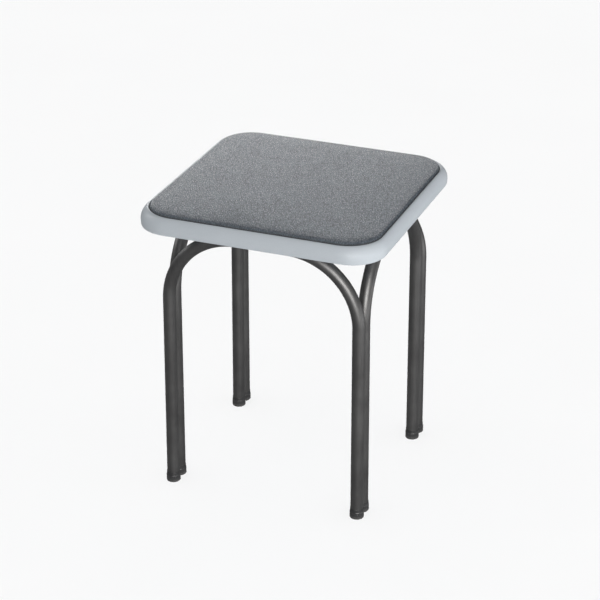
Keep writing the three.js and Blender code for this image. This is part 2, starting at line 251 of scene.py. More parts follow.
class Surface:
    """A procedural material around one Principled shader, patterned by the place in metres."""

    def __init__(self, name, roughness, specular=0.5, metallic=0.0):
        self.material = bpy.data.materials.new(name)
        self.material.use_nodes = True
        self.tree = self.material.node_tree
        self.shader = self.tree.nodes["Principled BSDF"]
        self.shader.inputs["Roughness"].default_value = roughness
        self.shader.inputs["Specular IOR Level"].default_value = specular
        self.shader.inputs["Metallic"].default_value = metallic
        self.place = self.node("ShaderNodeTexCoord").outputs["Object"]

    def node(self, kind, **settings):
        made = self.tree.nodes.new(kind)
        for key, value in settings.items():
            setattr(made, key, value)
        return made

    def feed(self, socket, value):
        """Links an output to a socket, or sets the socket to a plain value."""
        if isinstance(value, bpy.types.NodeSocket):
            self.tree.links.new(value, socket)
        else:
            socket.default_value = value

    def stretched(self, scale, turn=0.0):
        """The place, stretched by a scale for each axis and turned about Z."""
        mapping = self.node("ShaderNodeMapping", vector_type="TEXTURE")
        self.feed(mapping.inputs["Vector"], self.place)
        mapping.inputs["Rotation"].default_value = (0, 0, turn)
        mapping.inputs["Scale"].default_value = scale
        return mapping.outputs["Vector"]

    def noise(self, scale, detail=3, rough=0.55, distortion=0.0, place=None):
        made = self.node("ShaderNodeTexNoise")
        self.feed(made.inputs["Vector"], place or self.place)
        made.inputs["Scale"].default_value = scale
        made.inputs["Detail"].default_value = detail
        made.inputs["Roughness"].default_value = rough
        made.inputs["Distortion"].default_value = distortion
        return made.outputs["Fac"]

    def cells(self, scale, feature="F1", place=None):
        made = self.node("ShaderNodeTexVoronoi", feature=feature)
        self.feed(made.inputs["Vector"], place or self.place)
        made.inputs["Scale"].default_value = scale
        return made.outputs["Distance"]

    def spread(self, value, low, high, to_low=0.0, to_high=1.0):
        """Maps a range of values to another, clamped."""
        made = self.node("ShaderNodeMapRange")
        self.feed(made.inputs["Value"], value)
        limits = {"From Min": low, "From Max": high, "To Min": to_low, "To Max": to_high}
        for label, limit in limits.items():
            made.inputs[label].default_value = limit
        return made.outputs["Result"]

    def varied(self, noise, low, high):
        """Maps a noise to a range of its own."""
        return self.spread(noise, *NOISE_RANGE, low, high)

    def math(self, operation, first, second=0.0):
        made = self.node("ShaderNodeMath", operation=operation)
        self.feed(made.inputs[0], first)
        self.feed(made.inputs[1], second)
        return made.outputs[0]

    def times(self, first, second):
        return self.math("MULTIPLY", first, second)

    def ramp(self, value, low, high, start=NOISE_RANGE[0], end=NOISE_RANGE[1]):
        """A colour between two, by a noise unless start and end say otherwise."""
        made = self.node("ShaderNodeValToRGB")
        self.feed(made.inputs["Fac"], value)
        for stop, (place, color) in zip(made.color_ramp.elements, ((start, low), (end, high))):
            stop.position = place
            stop.color = (*color, 1)
        return made.outputs["Color"]

    def blend(self, factor, first, second):
        made = self.node("ShaderNodeMix", data_type="RGBA")
        self.feed(made.inputs["Factor"], factor)
        for label, value in (("A", first), ("B", second)):
            socket = [s for s in made.inputs if s.name == label and s.type == "RGBA"][0]
            self.feed(socket, value if isinstance(value, bpy.types.NodeSocket) else (*value, 1))
        return [s for s in made.outputs if s.type == "RGBA"][0]

    def height(self):
        """How far up the place is."""
        made = self.node("ShaderNodeSeparateXYZ")
        self.feed(made.inputs["Vector"], self.place)
        return made.outputs["Z"]

    def edges(self):
        """1 on sharply convex edges, 0 elsewhere."""
        geometry = self.node("ShaderNodeNewGeometry")
        return self.spread(geometry.outputs["Pointiness"], *PALE_EDGE_RANGE)

    def color(self, value):
        self.feed(self.shader.inputs["Base Color"], value)

    def roughness(self, value):
        self.feed(self.shader.inputs["Roughness"], value)

    def bump(self, *layers):
        """Layers of (height, depth in metres, strength), the first one lowest."""
        normal = None
        for height, depth, strength in layers:
            made = self.node("ShaderNodeBump")
            made.inputs["Strength"].default_value = strength
            made.inputs["Distance"].default_value = depth
            self.feed(made.inputs["Height"], height)
            if normal:
                self.feed(made.inputs["Normal"], normal)
            normal = made.outputs["Normal"]
        self.feed(self.shader.inputs["Normal"], normal)


def rim_plastic():
    """Satin blue-grey polypropylene, with a fine spark-eroded grain from the mould, and convex
    edges painted paler: rubbed wear, with a painted highlight on the lip.
    """
    surface = Surface("rim_plastic", roughness=0.48, specular=0.4)
    cloud = surface.noise(scale=9, detail=2)
    speck = surface.noise(scale=1100, detail=1)
    base = surface.ramp(cloud, (0.313, 0.339, 0.366), (0.333, 0.359, 0.387))
    fine = surface.ramp(speck, (0.292, 0.322, 0.352), (0.346, 0.380, 0.412))
    # Convex edges painted paler: rubbed wear, and on the rim's lip a painted highlight.
    paler_edges = surface.times(surface.edges(), 0.35)
    body = surface.blend(0.22, base, fine)
    surface.color(surface.blend(paler_edges, body, (0.44, 0.475, 0.505)))
    surface.roughness(surface.varied(surface.noise(scale=160), 0.44, 0.54))
    surface.bump((speck, 0.05 * MM, 0.35))
    return surface.material


GRAIN_TURN = math.radians(19)
PEBBLE_SIZE = (1.9 * MM, 6.4 * MM, 2.6 * MM)
CREASE_SIZE = (1.35 * MM, 9 * MM, 4 * MM)
CREASE_SHADE_HEIGHTS = (PAD_EDGE_Z + 0.3 * MM, PAD_EDGE_Z + 2.4 * MM)  # heights of the painted shade in the crease at the rim, from fully dark to clear


def grained_vinyl():
    """Grey leathercloth: long pebbles and finer creases, both running nearly front to back, with
    painted shade in the grain's low places and in the crease at the rim.
    """
    surface = Surface("grained_vinyl", roughness=0.5, specular=0.42)
    cells = surface.cells(1, "DISTANCE_TO_EDGE", place=surface.stretched(PEBBLE_SIZE, GRAIN_TURN))
    pebbles = surface.spread(cells, 0.03, 0.36)
    wrinkles = surface.noise(scale=1, detail=3, rough=0.6, distortion=0.8,
                             place=surface.stretched(CREASE_SIZE, GRAIN_TURN))
    from_middle = surface.math("ABSOLUTE", surface.math("SUBTRACT", wrinkles, 0.5))
    creases = surface.spread(from_middle, 0, 0.1)
    relief = surface.math("ADD", surface.times(pebbles, 0.65), surface.times(creases, 0.5))
    patches = surface.noise(scale=24, detail=3)
    tone = surface.ramp(patches, (0.100, 0.120, 0.143), (0.115, 0.137, 0.162))
    # Painted shade: the low places of the grain are blended towards a dark colour.
    valley_shade = surface.math("SUBTRACT", 1, surface.spread(relief, 0.2, 0.85))
    grained = surface.blend(surface.times(valley_shade, 0.85), tone, (0.032, 0.040, 0.050))
    # Painted shade: the vinyl turns dark just above the pad's edge, in the crease against the rim.
    crease_shade = surface.spread(surface.height(), *CREASE_SHADE_HEIGHTS, 0.85, 0.0)
    surface.color(surface.blend(crease_shade, grained, (0.035, 0.036, 0.038)))
    surface.roughness(surface.spread(relief, 0.1, 1.0, 0.62, 0.42))
    surface.bump((patches, 0.8 * MM, 0.3), (relief, 0.9 * MM, 1.0))
    return surface.material


def graphite_paint():
    """Dark satin powder coat with a faint orange peel, scuffed pale near the floor."""
    surface = Surface("graphite_paint", roughness=0.45, metallic=0.92)
    peel = surface.noise(scale=330, detail=2, rough=0.4)
    cloud = surface.noise(scale=26, detail=4, rough=0.6)
    base = surface.ramp(cloud, (0.121, 0.120, 0.120), (0.155, 0.154, 0.154))
    upright = surface.stretched((3 * MM, 3 * MM, 60 * MM))
    streak = surface.noise(scale=1, detail=3, place=upright)
    base = surface.blend(surface.spread(streak, 0.5, 0.8, 0, 0.5), base, (0.195, 0.193, 0.193))
    level = surface.stretched((9 * MM, 9 * MM, 3 * MM))
    scuffs = surface.noise(scale=1, detail=5, rough=0.75, place=level)
    low_down = surface.spread(surface.height(), 0.02, 0.12, 0.55, 0.0)
    scuffed = surface.times(surface.spread(scuffs, 0.6, 0.75), low_down)
    surface.color(surface.blend(scuffed, base, (0.25, 0.25, 0.25)))
    surface.roughness(surface.varied(cloud, 0.40, 0.50))
    surface.bump((peel, 0.06 * MM, 0.5))
    return surface.material


def cap_rubber():
    """Black moulded rubber, dusty where it meets the floor."""
    surface = Surface("cap_rubber", roughness=0.42, specular=0.7)
    grain = surface.noise(scale=900, detail=2)
    dust = surface.noise(scale=240, detail=4, rough=0.7)
    dusty = surface.times(surface.spread(surface.height(), 0.0, 6 * MM, 0.6, 0.0), dust)
    base = surface.ramp(grain, (0.011, 0.011, 0.012), (0.019, 0.019, 0.020))
    paler_edges = surface.times(surface.edges(), 0.3)
    base = surface.blend(paler_edges, base, (0.06, 0.06, 0.06))
    surface.color(surface.blend(dusty, base, (0.16, 0.155, 0.15)))
    surface.roughness(surface.varied(dust, 0.36, 0.50))
    surface.bump((grain, 0.05 * MM, 0.5))
    return surface.material


def zinc_steel():
    """Zinc-plated screw steel with a faint yellow cast in patches."""
    surface = Surface("zinc_steel", roughness=0.3, metallic=1.0)
    blotch = surface.noise(scale=420, detail=4, rough=0.6)
    surface.color(surface.ramp(blotch, (0.50, 0.49, 0.44), (0.68, 0.69, 0.70), end=0.65))
    surface.roughness(surface.varied(blotch, 0.24, 0.42))
    surface.bump((surface.noise(scale=2600, detail=2), 0.02 * MM, 0.4))
    return surface.material


def board_plastic():
    """Dark recycled sheet with pale flecks and a brushed saw grain."""
    surface = Surface("board_plastic", roughness=0.7)
    fleck = surface.cells(420)
    lengthwise = surface.stretched((1 * MM, 14 * MM, 1 * MM))
    fiber = surface.noise(scale=1, detail=4, place=lengthwise)
    base = surface.ramp(fiber, (0.036, 0.037, 0.039), (0.062, 0.063, 0.066))
    flecked = surface.spread(fleck, 0.12, 0.05, 0, 0.7)
    surface.color(surface.blend(flecked, base, (0.20, 0.20, 0.19)))
    surface.roughness(surface.varied(fiber, 0.6, 0.8))
    surface.bump((fiber, 0.1 * MM, 0.5))
    return surface.material


def pad_foam():
    """Open-cell seat foam, yellowed in patches."""
    surface = Surface("pad_foam", roughness=0.95, specular=0.2)
    pores = surface.cells(700)
    age = surface.noise(scale=14, detail=3)
    base = surface.ramp(age, (0.66, 0.58, 0.38), (0.76, 0.70, 0.52))
    open_pores = surface.spread(pores, 0.5, 0.2, 0, 0.6)
    surface.color(surface.blend(open_pores, base, (0.40, 0.34, 0.2)))
    surface.bump((pores, 0.5 * MM, 0.8))
    return surface.material


# ---- Mesh making --------------------------------------------------------------------------------
def make_object(name, points, faces, smooth_angle=35):
    """A mesh object whose edges sharper than the angle, in degrees, stay sharp."""
    mesh = bpy.data.meshes.new(name)
    mesh.from_pydata([tuple(p) for p in points], [], faces)
    mesh.validate()
    settle(mesh, smooth_angle)
    return add_object(name, mesh)


def settle(mesh, smooth_angle=35):
    """Turns all faces outwards and shades the mesh smooth up to the angle."""
    shape = bmesh.new()
    shape.from_mesh(mesh)
    bmesh.ops.recalc_face_normals(shape, faces=shape.faces)
    shape.to_mesh(mesh)
    shape.free()
    mesh.shade_smooth()
    mesh.set_sharp_from_angle(angle=math.radians(smooth_angle))


def bake_modifiers(obj):
    """Replaces an object's mesh by what its modifiers make of it."""
    graph = bpy.context.evaluated_depsgraph_get()
    made = bpy.data.meshes.new_from_object(obj.evaluated_get(graph))
    obj.modifiers.clear()
    old = obj.data
    obj.data = made
    bpy.data.meshes.remove(old)


def carve(body, tools, operation):
    """Joins the tools to the body, or cuts them from it, and removes them."""
    for tool in tools:
        step = body.modifiers.new(tool.name, "BOOLEAN")
        step.operation = operation
        step.solver = "MANIFOLD"
        step.object = tool
    bake_modifiers(body)
    for tool in tools:
        bpy.data.objects.remove(tool)
    settle(body.data)


def dress(obj, material, node):
    """Gives a finished piece its material and its body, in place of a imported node."""
    obj.data.materials.clear()
    obj.data.materials.append(material)
    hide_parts(node)
    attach(obj, "root")


def closed_strips(rings):
    """Quads between rings of the same length, the last ring joined to the first."""
    around = len(rings[0])
    faces = []
    for low in range(len(rings)):
        high = (low + 1) % len(rings)
        for i in range(around):
            j = (i + 1) % around
            faces.append((low * around + i, low * around + j, high * around + j, high * around + i))
    return faces


def prism_faces(around):
    """Sides and ends between a lower and an upper ring, whose points come one after the other."""
    faces = []
    for i in range(around):
        j = (i + 1) % around
        faces.append((i, j, around + j, around + i))
    return faces + [tuple(reversed(range(around))), tuple(range(around, 2 * around))]


def lathe(name, profile, place, segments):
    """A solid of revolution about a vertical axis. The profile's ends lie on the axis."""
    points = [(0, 0, profile[0][1])]
    faces = []
    rings = profile[1:-1]
    for radius, z in rings:
        for i in range(segments):
            turn = 2 * math.pi * i / segments
            points.append((radius * math.cos(turn), radius * math.sin(turn), z))
    points.append((0, 0, profile[-1][1]))
    for i in range(segments):
        j = (i + 1) % segments
        faces.append((0, 1 + j, 1 + i))
        for ring in range(len(rings) - 1):
            low = 1 + ring * segments
            high = low + segments
            faces.append((low + i, low + j, high + j, high + i))
        last = 1 + (len(rings) - 1) * segments
        faces.append((len(points) - 1, last + i, last + j))
    moved = [Vector(p) + Vector(place) for p in points]
    return make_object(name, moved, faces)


def rod(name, start, end, radius, segments=40):
    """A plain closed cylinder used as a cutting tool."""
    axis = Vector(end) - Vector(start)
    turn = axis.to_track_quat("Z", "Y")
    points = []
    for along in (Vector(start), Vector(end)):
        for i in range(segments):
            angle = 2 * math.pi * i / segments
            offset = Vector((radius * math.cos(angle), radius * math.sin(angle), 0))
            points.append(along + turn @ offset)
    return make_object(name, points, prism_faces(segments))


def tapered_block(name, size_x, size_y, x, y, bottom, top, draft, round_off):
    """A moulded block, a little narrower at its lower end, whose lower edges are rounded."""
    shape = bmesh.new()
    ends = []
    for z, shrink in ((bottom, draft), (top, 0)):
        half_x = size_x / 2 - shrink
        half_y = size_y / 2 - shrink
        ends.append([shape.verts.new((x + sx * half_x, y + sy * half_y, z))
                     for sx, sy in SQUARE])
    low, high = ends
    shape.faces.new(reversed(low))
    shape.faces.new(high)
    for i in range(4):
        j = (i + 1) % 4
        shape.faces.new((low[i], low[j], high[j], high[i]))
    lower_edges = [e for e in shape.edges if all(v in low for v in e.verts)]
    bmesh.ops.bevel(shape, geom=lower_edges, offset=round_off, segments=3, profile=0.5,
                    affect="EDGES")
    mesh = bpy.data.meshes.new(name)
    shape.to_mesh(mesh)
    shape.free()
    settle(mesh)
    return add_object(name, mesh)


def smooth_path(points, steps):
    """A Catmull-Rom curve through the points, with that many steps between each two."""
    path = np.array(points, float)
    padded = np.vstack([2 * path[0] - path[1], path, 2 * path[-1] - path[-2]])
    made = []
    for i in range(len(path) - 1):
        a, b, c, d = padded[i:i + 4]
        for t in np.arange(steps) / steps:
            made.append(0.5 * (2 * b + (c - a) * t + (2 * a - 5 * b + 4 * c - d) * t**2
                               + (3 * b - a - 3 * c + d) * t**3))
    made.append(path[-1])
    return made


# ---- Seat base ----------------------------------------------------------------------------------
CORNER_STEPS = 22
SIDE_STEPS = 12


def square_ring(inset, z, corner):
    """The outline at a distance in from the seat's edge, with round corners."""
    half = SEAT_HALF - inset
    core = half - corner
    ring = []
    for quarter in range(4):
        turn = Matrix.Rotation(quarter * math.pi / 2, 3, "Z")
        for step in range(CORNER_STEPS + 1):
            angle = math.pi / 2 * step / CORNER_STEPS
            x = core + corner * math.cos(angle)
            y = core + corner * math.sin(angle)
            ring.append(turn @ Vector((x, y, z)))
        for step in range(1, SIDE_STEPS):
            ring.append(turn @ Vector((core - 2 * core * step / SIDE_STEPS, half, z)))
    return ring


# Sections of the rim in millimetres: distance in from the seat's edge, height, corner radius.
RIM_SKIN = (
    (4.0, 401.6, 45.2),
    (2.8, 401.3, 46.2),
    (1.5, 401.9, 47.6),
    (0.4, 405.4, 50.4),
    (0.0, 410.3, 51.5),
    (0.8, 415.0, 51.0),
    (2.6, 419.2, 50.2),
    (5.0, 422.6, 49.3),
    (7.2, 424.3, 48.6),
    (8.7, 424.75, 48.0),
    (9.35, 424.4, 47.6),
    (9.6, 423.6, 47.5),
)
RIM_INSIDE = (
    (9.6, 409.0, 47.5),
    (7.2, 409.0, 49.5),
    (7.2, 418.0, 49.5),
    (6.8, 418.4, 49.5),
    (5.6, 418.4, 49.5),
    (3.6, 414.6, 49.5),
    (3.0, 410.3, 48.5),
    (3.3, 405.4, 47.5),
    (4.2, 402.2, 45.0),
)


def rib_blocks():
    """The lattice of ribs under the pan's floor."""
    full = 2 * (SEAT_HALF - RIM_CREASE_INSET + JOIN_OVERLAP)
    outermost = 2 * (SEAT_HALF - OUTER_RIB_INSET)
    top = FLOOR_BOTTOM_Z + JOIN_OVERLAP
    made = []
    for i in range(-RIBS_EACH_SIDE, RIBS_EACH_SIDE + 1):
        place = i * RIB_PITCH
        reach = outermost if abs(i) == RIBS_EACH_SIDE else full
        sizes = ((reach, RIB_THICKNESS, 0, place), (RIB_THICKNESS, reach, place, 0))
        for size_x, size_y, x, y in sizes:
            made.append(tapered_block("rib", size_x, size_y, x, y, RIB_BOTTOM_Z, top,
                                      draft=0.3 * MM, round_off=0.4 * MM))
    return made


OUTER_SADDLE = (72 * MM, 26 * MM)  # on the front and back arches, along X and Y
INNER_SADDLE = (26 * MM, 30 * MM)  # on the left and right arches
OUTER_GROOVE_REACH = Vector((40 * MM, 0, 0))
INNER_GROOVE_REACH = Vector((0, 20 * MM, 0))
FRAME_SCREW_COVER = 1.2 * MM  # what is left of the pan's floor over a frame screw


def saddle_and_groove(x, y, size, reach):
    """A block that rests on an arch's top, and the tool that cuts the tube's seat into it."""
    top = FLOOR_BOTTOM_Z + JOIN_OVERLAP
    saddle = tapered_block("saddle", *size, x, y, SADDLE_BOTTOM_Z, top,
                           draft=0.5 * MM, round_off=1 * MM)
    axis = Vector((x, y, ARCH_TOP_Z))
    return saddle, rod("groove", axis - reach, axis + reach, TUBE_RADIUS + GAP, 64)


def screw_hole(node, screw_size, bottom, top):
    """The tool that cuts a screw's clearance hole."""
    at = middle(node)
    return rod("hole", (at.x, at.y, bottom), (at.x, at.y, top), screw_size["shank"] + GAP)


def seat_base(plastic):
    """The moulded pan: rim, floor, ribs, saddles and screw holes."""
    section = smooth_path(RIM_SKIN, 4) + [np.array(p) for p in RIM_INSIDE]
    rings = [square_ring(inset * MM, z * MM, corner * MM) for inset, z, corner in section]
    points = [p for ring in rings for p in ring]
    base = make_object("seat_pan", points, closed_strips(rings), smooth_angle=50)

    low, high = [square_ring(FLOOR_INSET, z, FLOOR_CORNER) for z in (FLOOR_BOTTOM_Z, FLOOR_TOP_Z)]
    plate = make_object("plate", low + high, prism_faces(len(low)))

    pairs = []
    for side in ("front", "back"):
        y = middle(f"frame_screw_{side}_left").y
        pairs.append(saddle_and_groove(0, y, OUTER_SADDLE, OUTER_GROOVE_REACH))
    for side in ("left", "right"):
        x = middle(f"frame_screw_{side}").x
        pairs.append(saddle_and_groove(x, 0, INNER_SADDLE, INNER_GROOVE_REACH))
    saddles, tools = (list(group) for group in zip(*pairs))
    below = SADDLE_BOTTOM_Z - JOIN_OVERLAP
    for node in FRAME_SCREW_NODES:
        tools.append(screw_hole(node, FRAME_SCREW, below, FLOOR_TOP_Z - FRAME_SCREW_COVER))
    above = FLOOR_TOP_Z + JOIN_OVERLAP
    for corner in CORNERS:
        tools.append(screw_hole(f"pad_screw_{corner}", PAD_SCREW, RIB_BOTTOM_Z, above))
    carve(base, [plate] + rib_blocks() + saddles, "UNION")
    carve(base, tools, "DIFFERENCE")
    dress(base, plastic, "seat_base")


# ---- Pad ----------------------------------------------------------------------------------------
PAD_CELLS = 84
SIM_VOXEL = 5 * MM
SIM_FRAMES = 20
SIM_CAP = 6 * MM
SIM_SLACK = 0.85
SIM_PRESSURE = 4
PINNED_WIDTH = 2 * MM
DRAWN_WIDTH = 5 * MM  # the band at the pad's edge that keeps its drawn section
BLEND_WIDTH = 45 * MM  # the band inside it that turns into the simulated one
# The pad's drawn section in millimetres: distance in from its edge, and height.
PAD_PROFILE = ((0.0, 422.5), (0.3, 424.5), (0.8, 426.1), (1.5, 427.15), (2.6, 427.8), (5.0, 428.4),
               (9.7, 429.1), (20.0, 430.2), (36.0, 431.2), (80.0, 432.45), (165.1, 433.0))


def edge_distance(x, y):
    """How far inside the pad's outline a point is."""
    core = PAD_HALF - PAD_CORNER
    over_x = abs(x) - core
    over_y = abs(y) - core
    outside = math.hypot(max(over_x, 0), max(over_y, 0))
    return PAD_CORNER - outside - min(max(over_x, over_y), 0)


def designed_height(x, y):
    """The pad's height from its drawn section."""
    inside = max(edge_distance(x, y), 0) / MM
    distances = [d for d, _ in PAD_PROFILE]
    heights = [z for _, z in PAD_PROFILE]
    return float(np.interp(inside, distances, heights)) * MM


def outline_point(share, half, corner):
    """A point on one side of the rounded square, from -1 at the middle of one corner's arc to
    1 at the middle of the next; the side faces +Y."""
    core = half - corner
    arc = corner * math.pi / 4
    along = abs(share) * (core + arc)
    if along <= core:
        return math.copysign(along, share), half
    angle = (along - core) / corner
    return math.copysign(core + corner * math.sin(angle), share), core + corner * math.cos(angle)


def graded(count):
    """Numbers from -1 to 1 that lie closer together towards both ends."""
    even = np.linspace(-1, 1, count + 1)
    return 0.35 * even + 0.65 * np.sin(even * math.pi / 2)


def pad_grid(half, corner):
    """Points of a square grid stretched to fill the rounded square, as rows from front to back."""
    shares = graded(PAD_CELLS)
    side = [outline_point(s, half, corner) for s in shares]
    tip = side[-1][0]
    grid = []
    for j, v in enumerate(shares):
        row = []
        for i, u in enumerate(shares):
            across = (v + 1) / 2
            along = (u + 1) / 2
            back = Vector(side[i])
            front = Vector((side[i][0], -side[i][1]))
            right = Vector((side[j][1], side[j][0]))
            left = Vector((-side[j][1], side[j][0]))
            corners = Vector((tip * u, tip * v))
            row.append(front.lerp(back, across) + left.lerp(right, along) - corners)
        grid.append(row)
    return grid


def pad_body(half, corner, lift):
    """The pad's top, which follows lift(x, y): points, faces and the edge's points in order."""
    grid = pad_grid(half, corner)
    count = PAD_CELLS + 1
    points = [(p.x, p.y, lift(p.x, p.y)) for row in grid for p in row]
    faces = []
    for j in range(PAD_CELLS):
        for i in range(PAD_CELLS):
            a = j * count + i
            faces.append((a, a + 1, a + count + 1, a + count))
    rim = list(range(count))
    rim += [j * count + count - 1 for j in range(1, count)]
    rim += [(count - 1) * count + i for i in range(count - 2, -1, -1)]
    rim += [j * count for j in range(count - 2, 0, -1)]
    return points, faces, rim


def close_below(points, faces, rim, z):
    """Adds a side wall down to z and a flat bottom to the points and faces it is given."""
    count = len(points)
    around = len(rim)
    points += [(points[i][0], points[i][1], z) for i in rim]
    for k in range(around):
        following = (k + 1) % around
        faces.append((rim[k], count + k, count + following, rim[following]))
    faces.append(tuple(range(count + around - 1, count - 1, -1)))


def slack_height(x, y):
    """The pad's height before the simulation fills it out."""
    return PAD_EDGE_Z + (designed_height(x, y) - PAD_EDGE_Z) * SIM_SLACK


def simulated_top():
    """Blows the slack pad up as a pinned cloth, and returns its swollen surface."""
    points, faces, rim = pad_body(PAD_HALF - GAP, PAD_CORNER - GAP, slack_height)
    close_below(points, faces, rim, BOARD_TOP_Z)
    form = make_object("pad_form", points, faces)
    remesh = form.modifiers.new("even", "REMESH")
    remesh.mode = "VOXEL"
    remesh.voxel_size = SIM_VOXEL
    bake_modifiers(form)
    before = np.array([v.co for v in form.data.vertices])
    pins = form.vertex_groups.new(name="pins")
    held = [i for i, p in enumerate(before)
            if p[2] < PAD_EDGE_Z - 1 * MM or edge_distance(p[0], p[1]) < PINNED_WIDTH]
    pins.add(held, 1.0, "REPLACE")
    cloth = form.modifiers.new("cloth", "CLOTH")
    cloth.settings.use_pressure = True
    cloth.settings.uniform_pressure_force = SIM_PRESSURE
    cloth.settings.effector_weights.gravity = 0
    cloth.settings.vertex_group_mass = "pins"
    cloth.settings.tension_stiffness = 25
    cloth.settings.compression_stiffness = 12
    cloth.settings.bending_stiffness = 2
    cloth.point_cache.frame_end = SIM_FRAMES
    for step in range(1, SIM_FRAMES + 1):
        SCENE.frame_set(step)
    bake_modifiers(form)
    SCENE.frame_set(1)
    move = np.array([v.co for v in form.data.vertices]) - before
    length = np.linalg.norm(move, axis=1, keepdims=True)
    move *= SIM_CAP / (SIM_CAP + length)
    form.data.vertices.foreach_set("co", (before + move).astype(np.float32).ravel())
    form.data.update()
    tree = BVHTree.FromPolygons([v.co for v in form.data.vertices],
                                [tuple(p.vertices) for p in form.data.polygons])
    bpy.data.objects.remove(form)
    return tree


def pad_lift():
    """The height of the finished pad: the drawn section at its edge, the simulated one inside."""
    swollen = simulated_top()
    above = PAD_CROWN_Z + 20 * MM

    def rise(x, y):
        hit = swollen.ray_cast(Vector((x, y, above)), Vector((0, 0, -1)))[0]
        return 0 if hit is None else hit.z - slack_height(x, y)

    fill = (PAD_CROWN_Z - slack_height(0, 0)) / rise(0, 0)

    def filled(x, y):
        share = min(max((edge_distance(x, y) - DRAWN_WIDTH) / BLEND_WIDTH, 0), 1)
        share = share * share * (3 - 2 * share)
        drawn = designed_height(x, y)
        return drawn + (slack_height(x, y) + fill * rise(x, y) - drawn) * share

    return filled


def seat_cover(vinyl, lift):
    """The upholstery skin: top, side wall and the hem folded under the board."""
    points, faces, rim = pad_body(PAD_HALF, PAD_CORNER, lift)
    flat = [Vector((points[i][0], points[i][1])) for i in rim]
    loops = [rim]
    hem_z = COVER_LOW.z
    wall = [(0.0, PAD_EDGE_Z - 4 * MM), (0.0, PAD_EDGE_Z - 8 * MM), (0.0, hem_z + 1 * MM)]
    fold = [(0.4 * MM, hem_z + 0.3 * MM), (1.2 * MM, hem_z)]
    hem = [(HEM_WIDTH / 2, hem_z), (HEM_WIDTH, hem_z)]
    for inset, z in wall + fold + hem:
        loop = []
        for p in flat:
            scale = (PAD_HALF - inset) / PAD_HALF
            loop.append(len(points))
            points.append((p.x * scale, p.y * scale, z))
        loops.append(loop)
    for upper, lower in zip(loops, loops[1:]):
        for k in range(len(rim)):
            following = (k + 1) % len(rim)
            faces.append((upper[k], lower[k], lower[following], upper[following]))
    mesh = bpy.data.meshes.new("seat_upholstery")
    mesh.from_pydata(points, [], faces)
    mesh.shade_smooth()
    mesh.set_sharp_from_angle(angle=math.radians(50))
    cover = add_object("seat_upholstery", mesh)
    skin = cover.modifiers.new("skin", "SOLIDIFY")
    skin.thickness = COVER_THICKNESS
    skin.offset = -1
    bake_modifiers(cover)
    dress(cover, vinyl, "seat_cover")


def seat_foam(foam, lift):
    """The padding: it fills the cover down to the board."""
    inset = COVER_THICKNESS + GAP
    half = PAD_HALF - inset
    down = 1.08 * inset  # a little more than the inset, for the slope near the edge

    def under(x, y):
        return lift(x * PAD_HALF / half, y * PAD_HALF / half) - down

    points, faces, rim = pad_body(half, PAD_CORNER - inset, under)
    close_below(points, faces, rim, BOARD_TOP_Z + GAP)
    block = make_object("pad_filling", points, faces, smooth_angle=60)
    dress(block, foam, "seat_foam")


# ---- Frame --------------------------------------------------------------------------------------
TUBE_SIDES = 40
LEG_STEPS = 6
BEND_STEPS = 30
BEND_FLATTENING = 0.015
FRAME_SCREW_NODES = ("frame_screw_front_left", "frame_screw_front_right", "frame_screw_back_left",
                     "frame_screw_back_right", "frame_screw_left", "frame_screw_right")


def half_arch(leg_at, splay_along, splay_across):
    """Stations of half an arch in its XZ plane: point, direction and how far it is bent, 0 to 1."""
    bend_z = ARCH_TOP_Z - BEND_RADIUS
    share = (bend_z - TUBE_END_Z) / bend_z
    foot = Vector((-leg_at - splay_along * share, -splay_across * share, TUBE_END_Z))
    leg_top = Vector((-leg_at, 0, bend_z))
    up = (leg_top - foot).normalized()
    stations = [(foot.lerp(leg_top, t / LEG_STEPS), up, 0.0) for t in range(LEG_STEPS)]
    for step in range(BEND_STEPS + 1):
        angle = math.pi / 2 * step / BEND_STEPS
        center = Vector((-leg_at + BEND_RADIUS, 0, bend_z))
        out = Vector((-math.cos(angle), 0, math.sin(angle)))
        along = Vector((math.sin(angle), 0, math.cos(angle)))
        stations.append((center + out * BEND_RADIUS, along, math.sin(2 * angle)))
    return stations


def arch(name, paint, leg_at, splay_along, splay_across, place, turn, holes):
    """A hollow bent tube, with a clearance and an access hole at each screw."""
    near = half_arch(leg_at, splay_along, splay_across)
    far = [(Vector((-p.x, p.y, p.z)), Vector((d.x, -d.y, -d.z)), bent)
           for p, d, bent in reversed(near)]
    turns = [2 * math.pi * i / TUBE_SIDES for i in range(TUBE_SIDES)]
    stations = near + far
    rings = []
    for radius in (TUBE_RADIUS, TUBE_RADIUS - TUBE_WALL):
        wall = []
        for point, along, bent in stations:
            across = Vector((0, 1, 0))
            across = (across - along * across.dot(along)).normalized()
            inward = along.cross(across)
            squeezed = radius * (1 - BEND_FLATTENING * bent)
            wall.append([point + across * (radius * math.cos(a)) + inward * (squeezed * math.sin(a))
                         for a in turns])
        rings.append(wall)
    loops = rings[0] + rings[1][::-1]
    matrix = Matrix.Translation(place) @ Matrix.Rotation(turn, 4, "Z")
    points = [matrix @ p for loop in loops for p in loop]
    tube = make_object(name, points, closed_strips(loops), smooth_angle=40)
    tools = []
    for node in holes:
        at = middle(node)
        axis = Vector((at.x, at.y, ARCH_TOP_Z))
        reach = Vector((0, 0, 2 * TUBE_RADIUS))
        tools.append(rod("clearance_hole", axis, axis + reach, FRAME_SCREW["shank"] + GAP))
        tools.append(rod("access_hole", axis - reach, axis, ACCESS_HOLE_RADIUS))
    carve(tube, tools, "DIFFERENCE")
    dress(tube, paint, name.replace("_tube", "_arch"))


